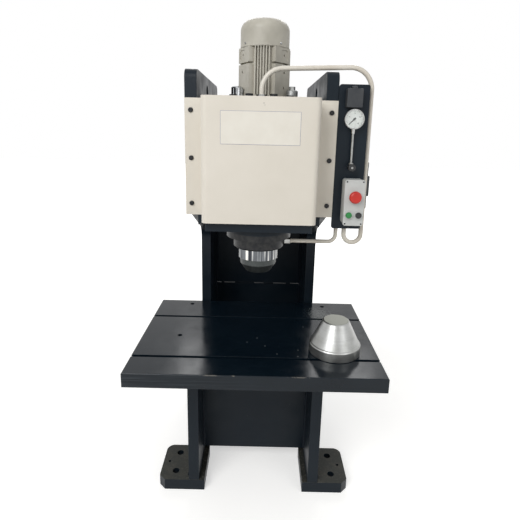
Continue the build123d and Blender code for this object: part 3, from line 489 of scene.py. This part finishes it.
# Nodes with a finish of their own; every other node takes its slot's
ownFinish = dict(
    pressure_switch="switch", table="table_top_paint", pressing_cone="cone_turned",
    filler_cap="bright_cap", ram_nose="nose", front_cover="cover_dotted", level_gauge="level_window",
    front_left_foot="pad_paint", front_right_foot="pad_paint", rear_left_foot="pad_paint",
    rear_right_foot="pad_paint",
)
finishOf = {name: made[ownFinish.get(name, slotOf[name])] for name in nodes}

for nodeName, node in nodes.items():
    node.data.materials.clear()
    node.data.materials.append(finishOf[nodeName])
print("finishes on all nodes")


# Rounded edges on the plates, boxes and blocks: radius in mm, small enough that no edge folds over
edgeRounds = dict(
    left_side_plate=1.6, right_side_plate=1.6, front_left_foot=0.6, front_right_foot=0.6,
    rear_left_foot=0.6, rear_right_foot=0.6, front_web_plate=1.2, lower_rear_web=1.0,
    upper_rear_web=1.0, cylinder_seat=1.4, table=0.5, oil_tank=1.2, tank_lid=1.0, side_bracket=0.4,
    button_box=0.5, valve_manifold=0.6, directional_valve=1.0, solenoid_coils=1.0,
    pressure_switch=1.4, level_gauge=0.5, pump_body=1.5,
)
roundWay = dict(flatWithin=0.4, sharpFrom=32, segments=2)  # angles in degrees


def roundedCopy(nodeName, radius, way):
    # The node's shape with doubles merged, flat faces whole again and each sharp edge rounded
    source = nodes[nodeName]
    mesh = source.data.copy()
    mesh.transform(source.matrix_world)
    for label in ("custom_normal", "sharp_edge", "sharp_face"):
        if label in mesh.attributes:
            mesh.attributes.remove(mesh.attributes[label])
    shape = bmesh.new()
    shape.from_mesh(mesh)
    bmesh.ops.remove_doubles(shape, verts=shape.verts, dist=mergeWithin)
    bmesh.ops.dissolve_limit(shape, angle_limit=radians(way["flatWithin"]), verts=shape.verts,
                             edges=shape.edges)
    shape.to_mesh(mesh)
    shape.free()
    mesh.shade_smooth()
    mesh.set_sharp_from_angle(angle=radians(way["sharpFrom"]))
    body, slotName, finish = bodyOf[nodeName], slotOf[nodeName], finishOf[nodeName]
    piece = linkPiece("rounded_" + nodeName, mesh, body, finish)
    edges = piece.modifiers.new("edges", "BEVEL")
    edges.limit_method, edges.angle_limit = "ANGLE", radians(way["sharpFrom"])
    edges.width, edges.segments = radius * mm, way["segments"]
    edges.use_clamp_overlap, edges.harden_normals = False, True
    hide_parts(nodeName)


for nodeName, radius in edgeRounds.items():
    roundedCopy(nodeName, radius, roundWay)
print("edges rounded")


# Weld beads, all in mm: shape of a bead, and the corners that the beads lie in
weldShape = dict(bulge=0.14, ripple=0.4, pitch=4.4, step=1.1, lean=0.55, columns=7, sink=0.4,
                 wander=((0.05, 37), (0.035, 11.3)), smoothTo=50)
weldSeams = dict(
    inner=210, outer=250,  # the side plates' faces, from the middle
    upright=[  # depth, from height, length, 1 at the back or -1 at the front, leg
        (-110, 76, 493, -1, 7), (425, 46, 560, -1, 7), (425, 612, 397, -1, 7), (445, 46, 560, 1, 4.4),
        (445, 612, 872, 1, 4.4),
    ],
    outside=[  # height, from depth, length, 1 above or -1 below, leg
        (45, -240, 148, 1, 8), (45, 282, 148, 1, 8), (570, -258, 396, -1, 7),
    ],
    inside=[(570, -88, 226, -1, 7), (1056, -206, 184, -1, 7)],
)


def seamsOf(look):
    # Each seam: corner where it starts, way it runs, length, ways along the joined faces, and leg
    seams = []
    for side in (-1, 1):
        inner, outer = side * look["inner"], side * look["outer"]
        inwards, outwards = (-side, 0, 0), (side, 0, 0)
        for depth, start, length, way, leg in look["upright"]:
            seams.append(((inner, depth, start), (0, 0, 1), length, inwards, (0, way, 0), leg))
        for height, start, length, way, leg in look["outside"]:
            seams.append(((outer, start, height), (0, 1, 0), length, outwards, (0, 0, way), leg))
        for height, start, length, way, leg in look["inside"]:
            seams.append(((inner, start, height), (0, 1, 0), length, inwards, (0, 0, way), leg))
    return seams


def weldBead(look, seam):
    # Radius from the corner: leg / (cos t + sin t), t from one face to the other, raised by
    # bulge sin 2t and by ripples |sin(pi (s / pitch + lean sin 2t))|; it wanders by two slow sines
    # along s, and the ends close as a quarter circle of one leg
    corner, way, length, u, v, leg = (np.array(part, float) for part in seam)
    s = np.linspace(0, length, int(length / look["step"]))[:, None]
    t = np.linspace(0, pi / 2, look["columns"])[None, :]
    hump = np.sin(2 * t)
    phase = s / look["pitch"] + look["lean"] * hump
    (slow, slowPitch), (quick, quickPitch) = look["wander"]
    wander = 1 + slow * np.sin(s / slowPitch + corner.sum())
    wander = wander + quick * np.sin(s / quickPitch + length)
    r = leg * wander * (1 + look["bulge"] * hump) / (np.cos(t) + np.sin(t))
    r = r + look["ripple"] * (np.abs(np.sin(pi * phase)) - 0.5) * hump
    fromEnd = np.minimum(np.minimum(s, length - s) / leg, 1)
    close = np.sqrt(np.clip(1 - (1 - fromEnd) ** 2, 0, 1))
    r = r * close
    along = corner + s[..., None] * way
    face = along + (r * np.cos(t))[..., None] * u + (r * np.sin(t))[..., None] * v
    root = along - look["sink"] * (u + v) * close[..., None]
    return np.concatenate([face, root], axis=1) * mm, False, True


# Stitches over the gap between the rear plates, in mm: place and length along X, and both faces of
# the plates with their outward way
stitches = dict(
    places=((-181, 10), (-69, 92), (53, 44), (154, 16)), faces=((445.0, 1), (425.0, -1)),
    height=609.0, half=5.0, proud=1.8, spread=3.0, sink=0.3,
)


def stitchBead(look, weld, x, length, face, out):
    # A low bead over the gap: z = half cos t, depth = proud sin t, closed at its ends as half an
    # ellipse, with its two long edges sunk into the plate
    reach = length / 2 + look["spread"]
    s = np.linspace(-reach, reach, max(int(2 * reach / weld["step"]), weld["columns"] + 2))[:, None]
    t = np.linspace(0, pi, weld["columns"] + 2)[None, :]
    fromMiddle = np.clip((np.abs(s) - reach + look["half"]) / look["half"], 0, 1)
    close = np.sqrt(np.clip(1 - fromMiddle ** 2, 0, 1))
    ripple = weld["ripple"] * (np.abs(np.sin(pi * s / weld["pitch"])) - 0.5) * np.sin(t)
    atEdge = np.isclose(np.sin(t), 0)
    high = close * (look["proud"] * np.sin(t) + ripple) - look["sink"] * atEdge
    up = look["height"] + look["half"] * np.cos(t) * close
    return np.stack([x + s + 0 * t, face + out * high, up], -1) * mm, False, True


beads = [weldBead(weldShape, seam) for seam in seamsOf(weldSeams)]
beads += [stitchBead(stitches, weldShape, x, length, face, out)
          for x, length in stitches["places"] for face, out in stitches["faces"]]
makePiece("weld_beads", *joined(beads), "press_frame", "frame_paint", made["weld"],
          weldShape["smoothTo"])
print("weld beads made")


# Plain plate on the cover with a thin border line, in mm
nameplate = dict(
    centre=(-0.5, -350.0, 1381.5), wide=241, tall=99, corner=2.5, cornerSteps=8, thick=0.6, edge=0.15,
    lineIn=0.5, lineWide=1.0, lineHigh=0.06, lineRoot=0.05, sharpAngle=40,
)


def roundedRing(halfWide, halfTall, corner, steps):
    # Points of a rounded rectangle, counter-clockwise in X and Z
    turn = np.linspace(0, pi / 2, steps)
    quarters = [(1, 1, 0), (-1, 1, 1), (-1, -1, 2), (1, -1, 3)]
    parts = [np.stack([i * (halfWide - corner) + corner * np.cos(turn + quarter * pi / 2),
                       j * (halfTall - corner) + corner * np.sin(turn + quarter * pi / 2)], -1)
             for i, j, quarter in quarters]
    return np.concatenate(parts)


def makeSheet(name, rings, look, wrapRows, finish):
    # Rings of (points, depth in front of the plate's back) become rows of one grid
    x, y, z = look["centre"]
    rows = [np.stack([ring[:, 0] + x, np.full(len(ring), y - depth), ring[:, 1] + z], -1)
            for ring, depth in rings]
    points = np.stack(rows) * mm
    faces = gridFaces(*points.shape[:2], 0, wrapRows, True)
    makePiece(name, points, faces, "press_frame", "cover_paint", finish, look["sharpAngle"])


def makeNameplate(look):
    thick, edge, corner = look["thick"], look["edge"], look["corner"]

    def ring(inset, radius):
        halfWide, halfTall = look["wide"] / 2 - inset, look["tall"] / 2 - inset
        return roundedRing(halfWide, halfTall, radius, look["cornerSteps"])

    outer, inner = ring(0, corner), ring(edge, corner - edge)
    rings = [(outer * 0, 0), (outer, 0), (outer, thick - edge), (inner, thick), (inner * 0, thick)]
    makeSheet("cover_plate", rings, look, False, made["nameplate"])
    wide = ring(look["lineIn"], corner)
    slim = ring(look["lineIn"] + look["lineWide"], corner - look["lineWide"])
    low, high = thick - look["lineRoot"], thick + look["lineHigh"]
    rings = [(wide, low), (wide, high), (slim, high), (slim, low)]
    makeSheet("cover_plate_line", rings, look, True, made["plate_border"])


makeNameplate(nameplate)
print("cover plate made")


# Gauge face, in mm: the dial's disc, its ticks and its numbers. Angles are in degrees from +X,
# counter-clockwise, and each pair for a tick is the short one's and the long one's
gaugeFace = dict(
    centre=(300.0, -233.0, 1416.0), radius=28.6, hole=1.3, back=0.02, thick=0.2, discSteps=64,
    start=225, sweep=270, steps=40, big=10,
    tickOuter=26.8, tickInner=(24.8, 23.2), tickWide=(0.35, 0.75), ink=0.04, inkRoot=0.03,
    numbers=("0", "10", "20", "30", "40"), numberAt=18.4, numberTall=5.2, numberLift=0.01,
    numberThick=0.03,
)


def makeDial(look):
    # A disc with a hole: a four-cornered profile of radius and depth turned about the gauge's axis
    x, y, z = look["centre"]
    turn = np.linspace(0, 2 * pi, look["discSteps"], endpoint=False)
    profile = [(look["hole"], look["back"]), (look["radius"], look["back"]),
               (look["radius"], look["thick"]), (look["hole"], look["thick"])]
    rows = [np.stack([x + radius * np.cos(turn), np.full(len(turn), y - depth),
                      z + radius * np.sin(turn)], -1) for radius, depth in profile]
    makePiece("gauge_dial", np.stack(rows) * mm, gridFaces(len(profile), len(turn), 0, True, True),
              "press_frame", "gauge_steel", made["dial"])


def makeTicks(look):
    x, y, z = look["centre"]
    front, back = y - look["thick"] - look["ink"], y - look["thick"] + look["inkRoot"]
    bars = []
    for i in range(look["steps"] + 1):
        size = int(i % look["big"] == 0)  # 1 for a long tick
        half = look["tickWide"][size] / 2
        angle = radians(look["start"] - look["sweep"] * i / look["steps"])
        along = np.array([cos(angle), sin(angle)])
        across = np.array([-sin(angle), cos(angle)]) * half
        far, near = along * look["tickOuter"], along * look["tickInner"][size]
        ring = np.array([near + across, far + across, far - across, near - across]) + (x, z)
        middle = np.tile(ring.mean(0), (4, 1))
        rows = [np.stack([flat[:, 0], np.full(4, depth), flat[:, 1]], -1)
                for flat, depth in ((middle, back), (ring, back), (ring, front), (middle, front))]
        bars.append((np.stack(rows) * mm, False, True))
    makePiece("gauge_ticks", *joined(bars), "press_frame", "gauge_steel", made["ink"])


def makeGaugeNumbers(look):
    x, y, z = look["centre"]
    for i, word in enumerate(look["numbers"]):
        curve = bpy.data.curves.new("number_" + word, "FONT")
        curve.body, curve.align_x, curve.align_y = word, "CENTER", "CENTER"
        curve.size, curve.extrude = look["numberTall"] * mm, look["numberThick"] * mm
        text = bpy.data.objects.new("number_" + word, curve)
        bpy.context.scene.collection.objects.link(text)
        bpy.context.view_layer.update()
        depsgraph = bpy.context.evaluated_depsgraph_get()
        mesh = bpy.data.meshes.new_from_object(text.evaluated_get(depsgraph))
        bpy.data.objects.remove(text)
        angle = radians(look["start"] - look["sweep"] * i / (len(look["numbers"]) - 1))
        place = Vector((x + look["numberAt"] * cos(angle), y - look["thick"] - look["numberLift"],
                        z + look["numberAt"] * sin(angle)))
        mesh.transform(Matrix.Translation(place * mm) @ Matrix.Rotation(pi / 2, 4, "X"))
        linkPiece("gauge_number_" + word, mesh, "press_frame", made["ink"])


makeDial(gaugeFace)
makeTicks(gaugeFace)
makeGaugeNumbers(gaugeFace)
print("gauge face made")


# Small screw heads on the motor's cowl, the terminal box and the button box, in mm and degrees
motorPlace = dict(axis=(8.0, 200.0), turn=-6.0)
headShape = dict(turns=20, root=-0.5, shoulder=0.45, brow=(0.8, 0.85), crown=0.4, recess=(0.38, 0.5))
cowlHeads = dict(wide=4.6, high=2.6, radius=98.3, height=1703.0, angles=(39, 129, 219, 309))
lidHeads = dict(wide=3.4, high=2.0, across=(-43, 43), depth=353.0, heights=(1571.0, 1653.0),
                facing=90)
boxHeads = dict(wide=2.6, high=1.0, across=(284.5, 337.5), depth=-270.0, heights=(1079.5, 1218.5),
                facing=-90)


def onMotor(motor, x, y, z):
    # A place given for the motor before it is turned about its own axis
    turn = radians(motor["turn"])
    axisX, axisY = motor["axis"]
    dx, dy = x - axisX, y - axisY
    return (axisX + dx * cos(turn) - dy * sin(turn), axisY + dx * sin(turn) + dy * cos(turn), z)


def makeHeads(name, slotName, finish, head, spots):
    # Low domed heads with a round recess: radius and height, turned about each spot's outward line
    look, wide, high = headShape, head["wide"], head["high"]
    (browAt, brow), (recessAt, recess) = look["brow"], look["recess"]
    profile = np.array([(0, look["root"]), (wide, look["root"]), (wide, high * look["shoulder"]),
                        (wide * browAt, high * brow), (wide * look["crown"], high),
                        (wide * recessAt, high * recess), (0, high * recess)])
    radius, height = profile[:, 0, None, None], profile[:, 1, None, None]
    turn = np.linspace(0, 2 * pi, look["turns"], endpoint=False)[None, :, None]
    grids = []
    for foot, angle in spots:
        out = np.array([cos(radians(angle)), sin(radians(angle)), 0])
        side = np.array([-sin(radians(angle)), cos(radians(angle)), 0])
        rim = radius * (np.cos(turn) * side + np.sin(turn) * (0, 0, 1))
        grids.append(((np.array(foot) + height * out + rim) * mm, False, True))
    makePiece(name, *joined(grids), "press_frame", slotName, finish)


def cowlSpots(motor, head):
    x, y = motor["axis"]
    spots = []
    for angle in head["angles"]:
        out, back = head["radius"] * cos(radians(angle)), head["radius"] * sin(radians(angle))
        spots.append(((x + out, y + back, head["height"]), angle))
    return spots


def lidSpots(motor, head):
    return [(onMotor(motor, motor["axis"][0] + x, head["depth"], z), head["facing"] + motor["turn"])
            for x in head["across"] for z in head["heights"]]


def boxSpots(head):
    return [((x, head["depth"], z), head["facing"]) for x in head["across"] for z in head["heights"]]


makeHeads("cowl_screws", "motor_paint", made["bare_steel"], cowlHeads,
          cowlSpots(motorPlace, cowlHeads))
makeHeads("terminal_lid_screws", "motor_paint", made["bare_steel"], lidHeads,
          lidSpots(motorPlace, lidHeads))
makeHeads("button_box_screws", "box_plastic", made["ink"], boxHeads, boxSpots(boxHeads))
print("screw heads made")


# Floor, light and camera
studio = dict(
    floorSize=30, floorColour=(226, 225, 222), floorLift=3, floorGrain=(3, 3), floorFade=(0.3, 0.7),
    floorRough=0.9, floorSpecular=0.1, floorGlow=(0.5, 1.0), glowFade=(1.2, 3.6),
    daylight=0.4,
    lamps=[  # place, aims at, width, height, watts
        ((-1.8, -3.1, 3.2), (0, 0, 0.9), 2.2, 2.2, 100),
        ((2.4, -2.6, 2.6), (0, 0, 0.8), 1.8, 1.8, 18),
        ((0.2, 2.8, 3.2), (0, 0, 1.0), 2.4, 1.6, 40),
    ],
)


def seenDirectly(tree):
    # 1 for what shows to the camera itself, in a gloss or through glass
    rays = put(tree, "LightPath")
    seen = calc(tree, "MAXIMUM", rays.outputs["Is Camera Ray"], rays.outputs["Is Glossy Ray"])
    return calc(tree, "MAXIMUM", seen, rays.outputs["Is Transmission Ray"])


def makeFloor(look):
    finish, tree, shader = newFinish("floor_white")
    grain = spread(tree, noise(tree, placeOn(tree), *look["floorGrain"]), *look["floorFade"])
    lifted = (part + look["floorLift"] for part in look["floorColour"])
    pale = tint(tree, grain, rgb(*look["floorColour"]), rgb(*lifted))
    tree.links.new(pale, shader.inputs["Base Color"])
    shader.inputs["Roughness"].default_value = look["floorRough"]
    shader.inputs["Specular IOR Level"].default_value = look["floorSpecular"]
    far = put(tree, "VectorMath", {0: placeOn(tree)}, operation="LENGTH").outputs["Value"]
    level = spread(tree, far, *look["glowFade"], *look["floorGlow"])
    strength = calc(tree, "MULTIPLY", seenDirectly(tree), level)
    glow = put(tree, "Emission", {"Color": (1, 1, 1, 1), "Strength": strength})
    both = put(tree, "AddShader", {0: shader.outputs[0], 1: glow.outputs[0]})
    tree.links.new(both.outputs[0], tree.nodes["Material Output"].inputs["Surface"])
    half = look["floorSize"] / 2
    corners = [(-half, -half, 0), (half, -half, 0), (half, half, 0), (-half, half, 0)]
    mesh = bpy.data.meshes.new("floor")
    mesh.from_pydata(corners, [], [(0, 1, 2, 3)])
    mesh.materials.append(finish)
    floor = bpy.data.objects.new("floor", mesh)
    bpy.context.scene.collection.objects.link(floor)


def makeWorld(look):
    world = bpy.data.worlds.new("daylight")
    bpy.context.scene.world = world
    world.use_nodes = True
    tree = world.node_tree
    back = tree.nodes["Background"]
    back.inputs["Color"].default_value = (1, 1, 1, 1)
    strength = spread(tree, seenDirectly(tree), 0, 1, look["daylight"], 1)
    tree.links.new(strength, back.inputs["Strength"])


def makeLamps(look):
    for i, (place, aim, width, height, watts) in enumerate(look["lamps"]):
        data = bpy.data.lights.new(f"softbox_{i}", "AREA")
        data.shape = "RECTANGLE"
        data.size, data.size_y, data.energy = width, height, watts
        lamp = bpy.data.objects.new(f"softbox_{i}", data)
        bpy.context.scene.collection.objects.link(lamp)
        lamp.location = place
        lamp.rotation_euler = (Vector(aim) - Vector(place)).to_track_quat("-Z", "Y").to_euler()


# Camera: angles in degrees, and focal length and centre in pixels of a square frame
cameraView = dict(
    place=(0.00536, -1.66205, 1.38195), pitch=13.34, yaw=-0.02, roll=1.3,
    focal=430, centreY=230, frameSize=520, sensor=36, clip=(0.05, 60),
)


def makeCamera(look):
    pitch, yaw, roll = (radians(look[name]) for name in ("pitch", "yaw", "roll"))
    ahead = Vector((sin(yaw) * cos(pitch), cos(yaw) * cos(pitch), -sin(pitch)))
    right = Vector((cos(yaw), -sin(yaw), 0))
    up = right.cross(ahead)
    sideways = right * cos(roll) + up * sin(roll)
    upwards = up * cos(roll) - right * sin(roll)
    data = bpy.data.cameras.new("camera")
    data.sensor_width = look["sensor"]
    data.lens = look["focal"] / look["frameSize"] * data.sensor_width
    data.shift_y = (look["centreY"] - look["frameSize"] / 2) / look["frameSize"]
    data.clip_start, data.clip_end = look["clip"]
    camera = bpy.data.objects.new("camera", data)
    bpy.context.scene.collection.objects.link(camera)
    turn = Matrix((sideways, upwards, -ahead)).transposed().to_4x4()
    camera.matrix_world = Matrix.Translation(look["place"]) @ turn
    bpy.context.scene.camera = camera


makeFloor(studio)
makeWorld(studio)
makeLamps(studio)
makeCamera(cameraView)
bpy.context.scene.view_settings.view_transform = "Standard"
print("floor, light and camera in place")
